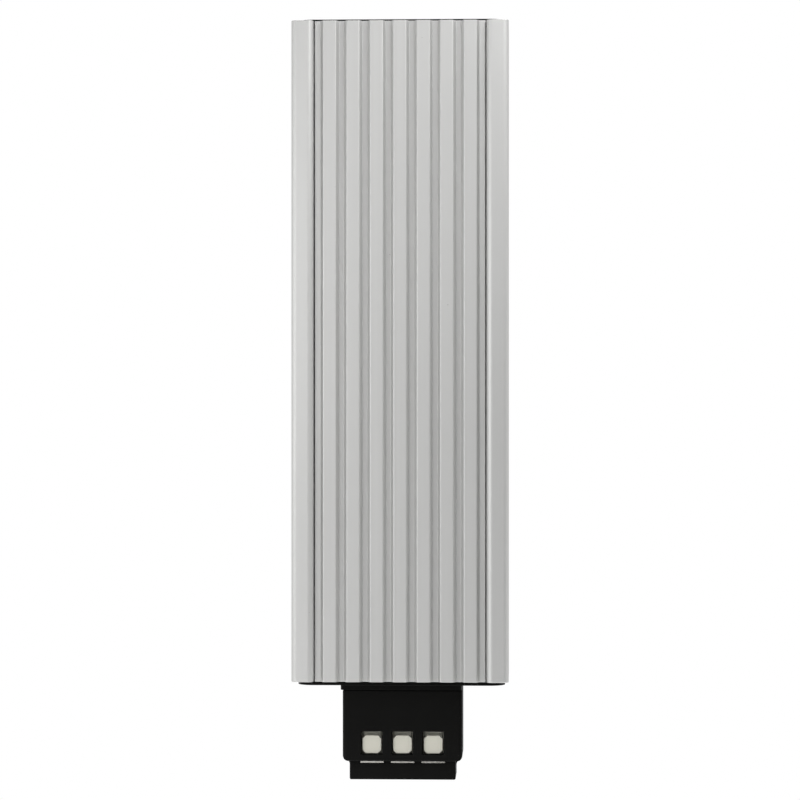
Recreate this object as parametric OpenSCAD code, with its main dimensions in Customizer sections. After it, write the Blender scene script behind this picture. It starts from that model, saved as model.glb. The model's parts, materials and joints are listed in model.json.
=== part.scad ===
// Enclosure heater: a finned aluminium profile with a heating channel, hung on a rail with its terminals down.
// +Z is up and the front faces -Y. The origin is the middle of the rail's front face, where the clip seats on it.

/* [Profile] */
// Width of the aluminium profile
profile_w = 70; // [66:1:90]
// Depth of the aluminium profile
profile_d = 45; // [43:1:60]
// Length of the aluminium profile
profile_l = 213; // [120:1:300]
// Width of each corner strip
strip_w = 7.15; // [6:0.05:8]
// Thickness of each corner strip
strip_t = 2.4; // [2:0.1:3]
// How far a strip's face falls away towards the profile's side
strip_fall = 0.25; // [0:0.05:0.6]
// Thickness of the side walls
side_t = 2; // [1.5:0.1:3]
// Rounding of the outer corners
corner_r = 1.7; // [0.5:0.1:2]
// Rounding of the strips' inner edges
strip_edge_r = 1.8; // [0.5:0.1:1.9]
// Width of the slot beside each corner strip
slot_w = 0.3; // [0.2:0.1:1.5]
// How far the ridges lie behind the corner strips
ridge_setback = 1; // [0:0.1:1.5]
// Number of ridges on the front
ridge_count = 7; // [5:2:7]
// Distance from ridge to ridge
ridge_pitch = 7.55; // [7:0.05:7.8]
// Width of a ridge's flat crest
ridge_top_w = 4.1; // [3:0.1:4.5]
// Width of a ridge's slope on each side
ridge_slope_w = 0.9; // [0.5:0.1:1.2]
// Height of a ridge above the valley floor
ridge_h = 1.6; // [0.8:0.1:2]
// Rounding of a ridge's crest edges
ridge_edge_r = 0.4; // [0.1:0.05:0.5]
// Thickness of the front wall under the valleys
front_t = 1.8; // [1.4:0.1:3]
// Thickness of the back wall
back_t = 2.4; // [2:0.1:3.5]
// Thickness of the webs between the core and the walls
web_t = 1.6; // [1.2:0.1:2.4]
// Distance of the inner webs from the middle
inner_web_x = 5.6; // [4:0.1:8]
// Gap between a free fin's tip and the wall before it
fin_gap = 2.5; // [1:0.5:6]
// Thickness of the core's walls around the heating channel
core_wall = 4.2; // [3.8:0.1:5]
// Radius of a screw channel's boss
boss_r = 3.2; // [2.8:0.1:4]

/* [Heating element] */
// Width of the heating channel
channel_w = 28; // [26:0.5:30]
// Distance of the element's ends from the profile's ends
pack_inset = 10; // [8:1:30]
// Thickness of the insulating film
film_t = 0.25; // [0.1:0.05:0.4]
// Thickness of an electrode strip
electrode_t = 0.5; // [0.3:0.1:0.8]
// Width of an electrode strip
electrode_w = 24; // [23:0.5:25]
// Thickness of a heating stone
stone_t = 2.1; // [1.5:0.1:2.5]
// Width of a heating stone
stone_w = 20; // [16:0.5:22]
// Height of a heating stone
stone_h = 15; // [8:0.5:16]
// Number of heating stones
stone_count = 8; // [3:1:10]
// Width of an electrode's tab
tab_w = 4; // [3:0.5:6]
// How far an electrode's tab stands out below the profile
tab_drop = 7; // [6:0.5:7.5]

/* [End caps] */
// Width of both cap plates
cap_w = 67.6; // [62:0.2:68]
// Depth of both cap plates
cap_d = 22; // [21.6:0.2:26]
// Corner radius of both cap plates
cap_r = 5; // [1:0.5:8]
// Thickness of the top cap plate
top_cap_t = 1.65; // [1.2:0.05:3]
// Length of the top cap's plug in the heating channel
top_plug_l = 4; // [2:0.5:6]
// Thickness of the bottom cap plate
bottom_cap_t = 2.05; // [1.2:0.05:3]
// Height of the collar under the bottom cap plate
collar_h = 1.6; // [1:0.05:3]
// Margin of the collar around the terminal housing
collar_margin = 0.25; // [0.1:0.05:0.8]
// Length of the bottom cap's sleeve in the terminal housing
sleeve_l = 5.2; // [3:0.1:5.6]
// Wall of the bottom cap's sleeve
sleeve_wall = 1.6; // [1:0.1:1.8]

/* [Terminal housing] */
// Depth of the terminal housing
housing_d = 20; // [19.8:0.1:20.4]
// Height of the terminal housing
housing_h = 23.2; // [23:0.1:26]
// Distance of the terminals from the profile's middle
terminal_shift = 0.4; // [0:0.1:0.6]
// Front and back wall of the terminal housing
housing_wall = 1.5; // [1.4:0.1:1.6]
// Side walls of the terminal housing
housing_side = 2; // [1.6:0.1:2.4]
// Step in the housing's wall that the block hangs on
ledge = 0.5; // [0.3:0.1:0.6]
// Rounding of the housing's upright edges
housing_edge_r = 1; // [0.3:0.1:1.4]
// Rounding of the housing's lower corners, seen from the front
housing_corner_r = 1.9; // [0.5:0.1:2.5]
// Rounding of the housing's upper edges
housing_top_r = 0.5; // [0.3:0.1:1.2]
// Rounding of the housing's lower edges, front and back
housing_low_r = 0.5; // [0.2:0.1:0.8]
// Width of a pusher's window
window_w = 7.1; // [6.8:0.1:7.4]
// Height of a pusher's window
window_h = 7.6; // [7.5:0.1:8.2]
// Height of the wall below the windows
window_sill = 2.1; // [1.8:0.1:3]

/* [Terminal block] */
// How far the block stands out below the housing
block_drop = 6.1; // [4.5:0.1:8]
// Height of the terminal block
block_h = 20.9; // [20.6:0.1:21]
// Front and back wall of the terminal block
block_wall = 1.6; // [1.4:0.1:1.8]
// Height of the block's flange on the housing's ledge
flange_h = 2; // [1:0.1:3]
// Play of the block in the housing, left and right
side_play = 0.2; // [0.1:0.1:0.6]
// Thickness of the block beyond the outer cells' places
block_end = 2.3; // [1.2:0.1:3]
// Distance from cell to cell
cell_pitch = 10; // [9.6:0.1:10.4]
// Width of a cell
cell_w = 7.8; // [7.6:0.1:8]
// Depth of the cell's floor below the housing's edge
cell_floor_drop = 0.7; // [0.6:0.1:1]
// Radius of a wire entry
wire_r = 1.7; // [1.2:0.1:1.8]
// Mouth radius of a wire entry's funnel
funnel_r = 2.6; // [2:0.1:2.7]
// Depth of a wire entry's funnel
funnel_l = 1.5; // [0.5:0.1:2]
// How far a latch barb stands out of the block's side
barb = 0.6; // [0.3:0.1:0.8]

/* [Clamps and pushers] */
// Thickness of a cage's sheet
cage_t = 0.7; // [0.5:0.1:0.7]
// Height of a cage's front lip
lip_h = 1.9; // [1.7:0.1:2]
// Thickness of a leaf spring
spring_t = 0.4; // [0.2:0.05:0.5]
// Width of a leaf spring
spring_w = 5.6; // [4:0.2:6.6]
// Bend radius of a leaf spring
spring_bend_r = 1.6; // [1:0.1:2]
// Depth of a pusher's face behind the housing's front
pusher_recess = 1.2; // [0.4:0.1:1.5]
// Width of a pusher's face
pad_w = 6.2; // [5.6:0.1:6.2]
// Height of a pusher's face
pad_h = 5.9; // [5.4:0.1:5.9]
// Thickness of a pusher's face
pad_t = 1.6; // [1.2:0.1:1.8]
// Cut of the corners of a pusher's face
pad_cut = 1.1; // [0.4:0.1:1.4]
// Gap below a pusher's face in its window
pad_gap = 0.35; // [0.3:0.05:0.6]
// How far a pusher's stem stands above its face
stem_rise = 1.1; // [0.6:0.1:1.1]
// How far a pusher can be pressed
pusher_travel = 2; // [1:0.1:2]

/* [Rail clip] */
// Width of the rail
rail_w = 35; // [35]
// Thickness of the rail's edge with its play
rail_edge_t = 1.3; // [1.1:0.1:1.8]
// Length of the clip along the rail
clip_l = 30; // [26:1:50]
// Thickness of the clip's sheet
clip_t = 1.5; // [1.2:0.1:2]
// How far the clip's lips reach behind the rail's edges
clip_reach = 2.9; // [2:0.1:4]
// Distance of the clip's screws from the middle
clip_screw_x = 10; // [8.5:0.1:11]

/* [Screws] */
// Radius of a screw's shank
shank_r = 1.25; // [1:0.05:1.4]
// Radius of a screw's head
head_r = 2.3; // [2:0.1:2.35]
// Height of the earth screw's head
head_h = 1.7; // [1.2:0.1:2]
// How far the cap screws and the earth screw reach into the profile
cap_screw_l = 9; // [6:1:14]
// How far the clip's screws reach into the profile
clip_screw_l = 3.4; // [2.4:0.1:4]

/* [Fits] */
// Gap between pieces that are pushed together
fit_gap = 0.1; // [0.05:0.05:0.2]
// Gap around the pushers
run_gap = 0.3; // [0.25:0.05:0.3]
// Gap of a screw in its bore
bore_gap = 0.05; // [0.02:0.01:0.1]

/* [Hidden] */
$fn = 48;
// Overshoot of cuts
cut = 1;
// Overlap of the profile's walls where they meet
join = 0.5;
// Straight pieces in each bend of a folded sheet
bend_steps = 6;
LIVE = 0;
NEUTRAL = 1;
EARTH = 2;

// Depths are measured from the core's middle plane, which lies this far in front of the rail
core_y = -(clip_t + profile_d / 2);
head_z = profile_l / 2;
foot_z = -profile_l / 2;

// Profile
front_w = profile_w - 2 * strip_w - 2 * slot_w;
crest_y = -profile_d / 2 + ridge_setback;
valley_y = crest_y + ridge_h;
front_inner_y = valley_y + front_t;
back_inner_y = profile_d / 2 - back_t;
channel_d = stone_t + 2 * electrode_t + 2 * film_t;
core_w = channel_w + 2 * core_wall;
core_d = channel_d + 2 * core_wall;
outer_web_x = core_w / 2 - web_t / 2;
boss_x = (core_w + profile_w - 2 * side_t) / 4;
bore_r = shank_r + bore_gap;
hole_r = shank_r + 4 * bore_gap;
sink_h = head_r - shank_r;

// Heating element
pack_l = profile_l - 2 * pack_inset;
film_w = channel_w - 4 * fit_gap;
frame_w = film_w - 2 * film_t - 2 * fit_gap;
stone_pitch = pack_l / stone_count;

// Terminal housing and block, from the profile's foot downwards
cap_low_z = foot_z - bottom_cap_t;
housing_top_z = cap_low_z - collar_h;
housing_low_z = housing_top_z - housing_h;
block_low_z = housing_low_z - block_drop;
block_top_z = block_low_z + block_h;
block_w = 3 * cell_pitch + 2 * block_end;
inner_w = block_w + 2 * side_play;
inner_d = housing_d - 2 * housing_wall;
housing_w = inner_w + 2 * housing_side;
block_d = inner_d - 2 * fit_gap;
ledge_z = block_top_z - flange_h;
upper_w = inner_w + 2 * ledge;
upper_d = inner_d + 2 * ledge;
cell_d = block_d - 2 * block_wall;
cell_floor_z = housing_low_z - cell_floor_drop;
window_low_z = housing_low_z + window_sill;

// Cages: the front lip, the base on the cell's floor and the rear wall up to the leads
cage_w = cell_w - 2 * fit_gap;
lip_y = -block_d / 2 + fit_gap + cage_t / 2;
cage_base_z = cell_floor_z + cage_t / 2;
cage_rear_y = cell_d / 2 - fit_gap - cage_t / 2;
wire_play = 0.5;
wire_y = lip_y + cage_t / 2 + wire_play + wire_r;

// Pushers
pad_low_z = window_low_z + pad_gap;
pad_mid_z = pad_low_z + pad_h / 2;
pad_front_y = -housing_d / 2 + pusher_recess;
stem_inset = 0.25;
stem_w = pad_w - 2 * stem_inset;
stem_h = pad_h + stem_rise;
guide_w = pad_w + 2 * run_gap;
guide_h = stem_h + 2 * run_gap;
keeper_w = guide_w + 2 * run_gap;
keeper_h = guide_h + 2 * run_gap;
keeper_t = 1.2;
keeper_y = -cell_d / 2 + run_gap;
nose_w = 3;
nose_h = 2;
nose_spare = 1.1;
nose_end_y = keeper_y + keeper_t + pusher_travel + nose_spare;

// Leaf springs: up the cage's rear wall, over, down behind the pusher's nose and forward to the lip
spring_rear_y = cage_rear_y - cage_t / 2 - spring_t / 2;
spring_top_drop = 2.8;
spring_foot_rise = 1.5;
tip_rise = 1.1;
knee_drop = 2.05;
knee_run = 2.6;
spring_foot_z = cage_base_z + spring_foot_rise;
spring_top_z = block_top_z - spring_top_drop;
spring_knee = [nose_end_y + run_gap + spring_t, pad_mid_z - knee_drop];
spring_tip = [lip_y + cage_t / 2 + run_gap + spring_t, cage_base_z + tip_rise];

// Leads and earth tag
lead_r = 1;
lead_bend_r = 2.2;
lead_top_z = foot_z - tab_drop;
lead_z = lead_top_z - lead_r - lead_bend_r;
lead_end_y = cage_rear_y - cage_t / 2;
cage_top_z = lead_z + lead_r + run_gap;
electrode_y = (stone_t + electrode_t) / 2;
tag_t = 0.8;
tag_w = 5;
tag_leg_y = -2;
earth_y = channel_d / 2 + core_wall / 2;

// Rail clip, in its own frame at the rail
clip_face_y = -clip_t / 2;
clip_lip_y = rail_edge_t + clip_t / 2;
clip_corner_z = rail_w / 2 + run_gap + clip_t / 2;
clip_lip_z = rail_w / 2 - clip_reach;
clip_bend_r = clip_t * 0.7;
clip_flare = 1.4;

function cell_x(i) = terminal_shift + (i - 1) * cell_pitch;

// Vector helpers for rounded outlines and folded sheets
function unit(v) = v / norm(v);
function left_of(v) = [-unit(v).y, unit(v).x];
function short_turn(a) = a > 180 ? a - 360 : (a < -180 ? a + 360 : a);
function bearing(v) = atan2(v.y, v.x);

// The stations of a bend at p between a and b: points on an arc, each with the unit normal on the left
function bend(a, p, b, r) =
    let (
        u = unit(a - p),
        v = unit(b - p),
        half = acos(u * v) / 2,
        c = p + unit(u + v) * r / sin(half),
        start = bearing(p + u * r / tan(half) - c),
        turn = short_turn(bearing(p + v * r / tan(half) - c) - start),
        inward = turn > 0 ? -1 : 1
    )
    [for (i = [0 : bend_steps])
        let (a = start + turn * i / bend_steps, n = [cos(a), sin(a)])
        [c + r * n, inward * n]];

function path_stations(path, r) = concat(
    [[path[0], left_of(path[1] - path[0])]],
    [for (i = [1 : len(path) - 2]) each bend(path[i - 1], path[i], path[i + 1], r)],
    [[path[len(path) - 1], left_of(path[len(path) - 1] - path[len(path) - 2])]]
);

// Section of a sheet of thickness t folded along a path
module folded_section(path, t, r) {
    stations = path_stations(path, r);
    last = len(stations) - 1;
    polygon(concat(
        [for (s = stations) s[0] + s[1] * t / 2],
        [for (i = [last : -1 : 0]) stations[i][0] - stations[i][1] * t / 2]
    ));
}

// A folded sheet of width w across X, whose path is given in Y and Z
module folded_sheet(path, t, r, w) {
    rotate([90, 0, 90])
        linear_extrude(w, center = true)
            folded_section(path, t, r);
}

// What is outside a rounded corner at the origin whose inside lies towards +X and +Y
module corner_waste(r) {
    difference() {
        translate([-cut, -cut]) square(r + cut);
        translate([r, r]) circle(r);
    }
}

// A rectangle about the origin, with its own radius for the low and the high corners
module soft_rect(w, h, r_low, r_high) {
    difference() {
        square([w, h], center = true);
        translate([-w / 2, -h / 2]) corner_waste(r_low);
        translate([w / 2, -h / 2]) rotate(90) corner_waste(r_low);
        translate([w / 2, h / 2]) rotate(180) corner_waste(r_high);
        translate([-w / 2, h / 2]) rotate(270) corner_waste(r_high);
    }
}

module soft_plate(w, d, h, r) {
    linear_extrude(h) soft_rect(w, d, r, r);
}

// Two copies, mirrored left and right
module both_sides() {
    children();
    mirror([1, 0, 0]) children();
}

// Two copies, mirrored front and back
module front_and_back() {
    children();
    mirror([0, 1, 0]) children();
}

module at_core() {
    translate([0, core_y, 0]) children();
}

module at_terminals() {
    translate([terminal_shift, core_y, 0]) children();
}

// Right side wall with a corner strip at its front and at its back
module side_shell() {
    left = profile_w / 2 - strip_w;
    right = profile_w / 2;
    face_y = -profile_d / 2;
    root_y = face_y + strip_t;
    strip = concat(
        [[right - side_t, root_y], [left, root_y]],
        [for (s = bend([left, root_y], [left, face_y], [right, face_y + strip_fall], strip_edge_r)) s[0]],
        [for (s = bend([left, face_y], [right, face_y + strip_fall], [right, 0], corner_r)) s[0]]
    );
    polygon(concat(strip, [for (i = [len(strip) - 1 : -1 : 0]) [strip[i].x, -strip[i].y]]));
}

// Front wall: valleys at the wall's own level, with ridges whose crest edges are rounded
module ridged_wall() {
    half_top = ridge_top_w / 2;
    half_foot = half_top + ridge_slope_w;
    first_x = -(ridge_count - 1) / 2 * ridge_pitch;
    crests = [for (i = [0 : ridge_count - 1]) first_x + i * ridge_pitch];
    polygon(concat(
        [[-front_w / 2, front_inner_y], [-front_w / 2, valley_y]],
        [for (x = crests) each [
            [x - half_foot, valley_y],
            each [for (s = bend([x - half_foot, valley_y], [x - half_top, crest_y], [x, crest_y], ridge_edge_r)) s[0]],
            each [for (s = bend([x, crest_y], [x + half_top, crest_y], [x + half_foot, valley_y], ridge_edge_r)) s[0]],
            [x + half_foot, valley_y]
        ]],
        [[front_w / 2, valley_y], [front_w / 2, front_inner_y]]
    ));
}

module back_wall() {
    translate([-front_w / 2, back_inner_y]) square([front_w, back_t]);
}

// A web at x from the front wall through the core to the back wall
module through_web(x) {
    translate([x - web_t / 2, front_inner_y - join])
        square([web_t, back_inner_y - front_inner_y + 2 * join]);
}

// Screw channel's boss beside the core, with a free fin towards the front and one towards the back
module finned_boss() {
    translate([boss_x, 0]) circle(boss_r);
    fin_front_y = front_inner_y + fin_gap;
    fin_back_y = back_inner_y - fin_gap;
    translate([boss_x - web_t / 2, fin_front_y]) square([web_t, fin_back_y - fin_front_y]);
}

module profile_section() {
    difference() {
        union() {
            both_sides() {
                side_shell();
                through_web(inner_web_x);
                through_web(outer_web_x);
                finned_boss();
            }
            ridged_wall();
            back_wall();
            square([core_w, core_d], center = true);
            square([profile_w - side_t, side_t], center = true);
        }
        square([channel_w, channel_d], center = true);
        both_sides() translate([boss_x, 0]) circle(bore_r);
    }
}

// One extrusion, drilled for the clip's screws and the earth screw
module heater_profile() color("silver") at_core() {
    difference() {
        translate([0, 0, foot_z]) linear_extrude(profile_l) profile_section();
        both_sides()
            translate([clip_screw_x, back_inner_y - cut, 0])
                rotate([-90, 0, 0]) cylinder(r = bore_r, h = back_t + 2 * cut);
        translate([cell_x(EARTH), earth_y, foot_z - cut])
            cylinder(r = bore_r, h = cap_screw_l + 2 * cut);
    }
}

// A cross recess cut into a head whose top is at the origin
module cross_recess() {
    for (a = [0, 90])
        rotate(a) cube([1.1 * head_r, 0.3 * head_r, 0.8 * head_r], center = true);
}

// Flat-head screw along -Z, with the top of its head at the origin
module flat_screw(l) {
    difference() {
        union() {
            translate([0, 0, -sink_h]) cylinder(r1 = shank_r, r2 = head_r, h = sink_h);
            translate([0, 0, -l]) cylinder(r = shank_r, h = l - sink_h / 2);
        }
        cross_recess();
    }
}

// The countersunk hole for a flat-head screw through a sheet of thickness t
module flat_screw_hole(t) {
    translate([0, 0, -t - cut]) cylinder(r = hole_r, h = t + 2 * cut);
    translate([0, 0, -sink_h])
        cylinder(r1 = shank_r + bore_gap, r2 = head_r + bore_gap + cut, h = sink_h + cut);
}

// Pan-head screw along -Z, with the head's underside at the origin
module pan_screw(l) {
    difference() {
        union() {
            translate([0, 0, -l]) cylinder(r = shank_r, h = l + head_h / 2);
            cylinder(r = head_r, h = head_h * 0.6);
            translate([0, 0, head_h * 0.6]) cylinder(r1 = head_r, r2 = head_r * 0.7, h = head_h * 0.4);
        }
        translate([0, 0, head_h]) cross_recess();
    }
}

module top_cap() color("#1b1b1b") at_core() {
    translate([0, 0, head_z]) {
        difference() {
            soft_plate(cap_w, cap_d, top_cap_t, cap_r);
            both_sides() translate([boss_x, 0, top_cap_t]) flat_screw_hole(top_cap_t);
        }
        translate([-channel_w / 2 + fit_gap, -channel_d / 2 + fit_gap, -top_plug_l])
            cube([channel_w - 2 * fit_gap, channel_d - 2 * fit_gap, top_plug_l + top_cap_t / 2]);
    }
}

module top_cap_screws() color("#b9bcc0") at_core() {
    both_sides() translate([boss_x, 0, head_z + top_cap_t]) flat_screw(top_cap_t + cap_screw_l);
}

// Plate, collar and sleeve in one moulding, open in the middle for the leads
module bottom_cap() color("#1b1b1b") at_core() {
    sleeve_w = upper_w - 2 * fit_gap;
    sleeve_d = upper_d - 2 * fit_gap;
    sleeve_low_z = housing_top_z - sleeve_l;
    difference() {
        union() {
            translate([0, 0, cap_low_z]) soft_plate(cap_w, cap_d, bottom_cap_t, cap_r);
            translate([0, 0, housing_top_z])
                soft_plate(housing_w + 2 * collar_margin, housing_d + 2 * collar_margin,
                    collar_h + bottom_cap_t / 2, housing_edge_r);
            translate([terminal_shift, 0, sleeve_low_z])
                soft_plate(sleeve_w, sleeve_d, sleeve_l + collar_h, housing_edge_r / 2);
        }
        translate([terminal_shift, 0, sleeve_low_z - cut])
            soft_plate(sleeve_w - 2 * sleeve_wall, sleeve_d - 2 * sleeve_wall,
                foot_z - sleeve_low_z + 2 * cut, housing_edge_r / 2);
        both_sides() translate([boss_x, 0, cap_low_z]) mirror([0, 0, 1]) flat_screw_hole(bottom_cap_t);
    }
}

module bottom_cap_screws() color("#b9bcc0") at_core() {
    both_sides() translate([boss_x, 0, cap_low_z]) mirror([0, 0, 1]) flat_screw(bottom_cap_t + cap_screw_l);
}

// Outer form of the housing: a block whose edges are rounded along all three directions
module housing_form() {
    intersection() {
        soft_plate(housing_w, housing_d, housing_h, housing_edge_r);
        translate([0, 0, housing_h / 2]) rotate([90, 0, 0])
            linear_extrude(housing_d + 2 * cut, center = true)
                soft_rect(housing_w, housing_h, housing_corner_r, housing_top_r);
        translate([0, 0, housing_h / 2]) rotate([90, 0, 90])
            linear_extrude(housing_w + 2 * cut, center = true)
                soft_rect(housing_d, housing_h, housing_low_r, housing_top_r);
    }
}

module each_cell() {
    for (i = [LIVE : EARTH])
        translate([(i - 1) * cell_pitch, 0, 0]) children();
}

module pusher_window() {
    translate([-window_w / 2, -housing_d / 2 - cut, window_low_z])
        cube([window_w, housing_wall + 2 * cut, window_h]);
}

module terminal_housing() color("#161616") at_terminals() {
    difference() {
        translate([0, 0, housing_low_z]) housing_form();
        translate([0, 0, housing_low_z - cut])
            soft_plate(inner_w, inner_d, housing_h + 2 * cut, housing_edge_r / 2);
        translate([0, 0, ledge_z])
            soft_plate(upper_w, upper_d, housing_h, housing_edge_r / 2);
        each_cell() pusher_window();
    }
}

// What a cell takes out of the block: the cell, the lip's opening, the pusher's guide and the wire entry
module cell_cut() {
    translate([-cell_w / 2, -cell_d / 2, cell_floor_z])
        cube([cell_w, cell_d, block_h]);
    translate([-cell_w / 2, -block_d / 2 - cut, cell_floor_z])
        cube([cell_w, block_wall + 2 * cut, lip_h + fit_gap]);
    translate([-guide_w / 2, -block_d / 2 - cut, pad_low_z - run_gap])
        cube([guide_w, block_wall + 2 * cut, guide_h]);
    translate([0, wire_y, block_low_z]) {
        translate([0, 0, -cut]) cylinder(r = wire_r, h = block_drop + 2 * cut);
        cylinder(r1 = funnel_r, r2 = wire_r, h = funnel_l);
    }
}

// A wedge on the block's right side that snaps out below the housing's edge
module latch_barb() {
    side = block_w / 2;
    translate([0, block_d / 4, 0]) rotate([90, 0, 0]) linear_extrude(block_d / 2)
        polygon([
            [side - cut, housing_low_z - fit_gap],
            [side + barb, housing_low_z - fit_gap - barb / 2],
            [side, housing_low_z - fit_gap - 3 * barb],
            [side - cut, housing_low_z - fit_gap - 3 * barb]
        ]);
}

module terminal_block() color("#141414") at_terminals() {
    difference() {
        union() {
            translate([0, 0, block_low_z]) intersection() {
                soft_plate(block_w, block_d, block_h, housing_edge_r / 2);
                translate([0, 0, block_h / 2]) rotate([90, 0, 0])
                    linear_extrude(block_d + 2 * cut, center = true)
                        soft_rect(block_w, block_h, housing_low_r, housing_low_r);
            }
            translate([0, 0, ledge_z])
                soft_plate(upper_w - 2 * fit_gap, upper_d - 2 * fit_gap, flange_h, housing_edge_r / 2);
            both_sides() latch_barb();
        }
        each_cell() cell_cut();
    }
}

// Folded cage with a square window for the wire in its base
module cage(i) color("#d8d8d2") at_core() translate([cell_x(i), 0, 0]) {
    wire_window = 2 * (wire_r + wire_play);
    path = [
        [lip_y, cell_floor_z + lip_h],
        [lip_y, cage_base_z],
        [cage_rear_y, cage_base_z],
        [cage_rear_y, cage_top_z]
    ];
    difference() {
        folded_sheet(path, cage_t, cage_t, cage_w);
        translate([0, wire_y, cage_base_z]) cube([wire_window, wire_window, 2 * cage_t], center = true);
    }
}

module leaf_spring(i) color("#c9ccd0") at_core() translate([cell_x(i), 0, 0]) {
    path = [
        [spring_rear_y, spring_foot_z],
        [spring_rear_y, spring_top_z],
        [spring_knee.x + knee_run, spring_top_z],
        spring_knee,
        spring_tip
    ];
    folded_sheet(path, spring_t, spring_bend_r, spring_w);
}

// Face plate of a pusher with cut corners, seen from the front
module pad_outline() {
    x = pad_w / 2;
    polygon([
        [-x + pad_cut, 0], [x - pad_cut, 0], [x, pad_cut], [x, pad_h - pad_cut],
        [x - pad_cut, pad_h], [-x + pad_cut, pad_h], [-x, pad_h - pad_cut], [-x, pad_cut]
    ]);
}

// Face, stem, the keeper that holds it in the block, and the nose that meets the spring
module pusher(i) color("#c7c6be") at_core() translate([cell_x(i), 0, 0]) {
    translate([0, pad_front_y + pad_t, pad_low_z]) rotate([90, 0, 0]) linear_extrude(pad_t) pad_outline();
    translate([-stem_w / 2, pad_front_y + pad_t, pad_low_z])
        cube([stem_w, keeper_y - pad_front_y - pad_t + keeper_t / 2, stem_h]);
    translate([-keeper_w / 2, keeper_y, pad_low_z - 2 * run_gap])
        cube([keeper_w, keeper_t, keeper_h]);
    translate([-nose_w / 2, keeper_y, pad_mid_z - nose_h / 2])
        cube([nose_w, nose_end_y - keeper_y, nose_h]);
}

// The row of stones, spaced evenly over the element's length
module each_stone() {
    for (i = [0 : stone_count - 1])
        translate([0, 0, (i - (stone_count - 1) / 2) * stone_pitch]) children();
}

module heating_stones() color("#6d6a66") at_core() {
    each_stone() cube([stone_w, stone_t, stone_h], center = true);
}

module stone_frame() color("#d9cfae") at_core() {
    difference() {
        cube([frame_w, stone_t - 2 * fit_gap, pack_l], center = true);
        each_stone() cube([stone_w + 2 * fit_gap, stone_t + cut, stone_h + 2 * fit_gap], center = true);
    }
}

// Contact strip over the stones, with a tab that leaves the channel at the foot
module electrode(side, i) color("#c6c8ca") at_core() translate([0, side * electrode_y, 0]) {
    cube([electrode_w, electrode_t, pack_l], center = true);
    translate([cell_x(i) - tab_w / 2, -electrode_t / 2, lead_top_z])
        cube([tab_w, electrode_t, pack_inset + tab_drop + cut]);
}

module front_electrode() electrode(-1, LIVE);

module rear_electrode() electrode(1, NEUTRAL);

module insulating_sleeve() color("#c98a2b") at_core() {
    sleeve_h = pack_l + pack_inset;
    difference() {
        cube([film_w, channel_d, sleeve_h], center = true);
        cube([film_w - 2 * film_t, channel_d - 2 * film_t, sleeve_h + cut], center = true);
    }
}

// Short wire: down from a tab, round a bend and back to the cage's rear wall
module lead(i, start_y, tint) color(tint) at_core() translate([cell_x(i), start_y, 0]) {
    translate([0, 0, lead_top_z - lead_r]) cylinder(r = lead_r, h = lead_r);
    translate([0, lead_bend_r, lead_top_z - lead_r]) rotate([90, 0, 90]) rotate(180)
        rotate_extrude(angle = 90) translate([lead_bend_r, 0]) circle(lead_r);
    translate([0, lead_bend_r, lead_z]) rotate([-90, 0, 0])
        cylinder(r = lead_r, h = lead_end_y - start_y - lead_bend_r);
}

module earth_tag() color("#d0c9a8") at_core() translate([cell_x(EARTH), 0, 0]) {
    path = [
        [earth_y + tag_w / 2, foot_z - tag_t / 2],
        [tag_leg_y, foot_z - tag_t / 2],
        [tag_leg_y, lead_top_z]
    ];
    difference() {
        folded_sheet(path, tag_t, tag_t, tag_w);
        translate([0, earth_y, foot_z]) cylinder(r = hole_r, h = 4 * tag_t, center = true);
    }
}

module earth_screw() color("#c8b878") at_core() {
    translate([cell_x(EARTH), earth_y, foot_z - tag_t]) mirror([0, 0, 1]) pan_screw(tag_t + cap_screw_l);
}

// Clip folded from one sheet: a hook over the rail's upper edge and a flared latch under its lower edge
module rail_clip() color("#a9adb1") {
    path = [
        [clip_lip_y, clip_lip_z],
        [clip_lip_y, clip_corner_z],
        [clip_face_y, clip_corner_z],
        [clip_face_y, -clip_corner_z],
        [clip_lip_y, -clip_corner_z],
        [clip_lip_y, -clip_lip_z],
        [clip_lip_y + clip_flare, -clip_lip_z + clip_flare]
    ];
    difference() {
        folded_sheet(path, clip_t, clip_bend_r, clip_l);
        both_sides() translate([clip_screw_x, 0, 0]) rotate([-90, 0, 0]) flat_screw_hole(clip_t);
    }
}

module rail_clip_screws() color("#b9bcc0") {
    both_sides() translate([clip_screw_x, 0, 0]) rotate([-90, 0, 0]) flat_screw(clip_t + clip_screw_l);
}

heater_profile();
top_cap();
top_cap_screws();
bottom_cap();
bottom_cap_screws();
terminal_housing();
terminal_block();
cage(LIVE);  // live_cage
cage(NEUTRAL);  // neutral_cage
cage(EARTH);  // earth_cage
leaf_spring(LIVE);  // live_spring
leaf_spring(NEUTRAL);  // neutral_spring
leaf_spring(EARTH);  // earth_spring
pusher(LIVE);  // live_pusher
pusher(NEUTRAL);  // neutral_pusher
pusher(EARTH);  // earth_pusher
heating_stones();
stone_frame();
front_electrode();
rear_electrode();
insulating_sleeve();
lead(LIVE, -electrode_y, "#7a4a2a");  // live_lead
lead(NEUTRAL, electrode_y, "#2f5fa8");  // neutral_lead
lead(EARTH, tag_leg_y, "#6f9a2e");  // earth_lead
earth_tag();
earth_screw();
rail_clip();
rail_clip_screws();
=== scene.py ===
# %% [markdown]
# # An enclosure heater
# Small convection heaters like this one hang on a rail in an electrical cabinet and keep it dry. A ridged
# aluminium extrusion gives off the heat of ceramic stones in its core, black plates close its ends, and a
# terminal housing with three spring clamps hangs below. The shapes could all be modelled here, but CAD
# keeps their dimensions exact. So the solids come from CAD, in metres, and this lesson gives them soft
# edges, finishes, light and a camera.

# %% Load the solids
import json
import math

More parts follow.
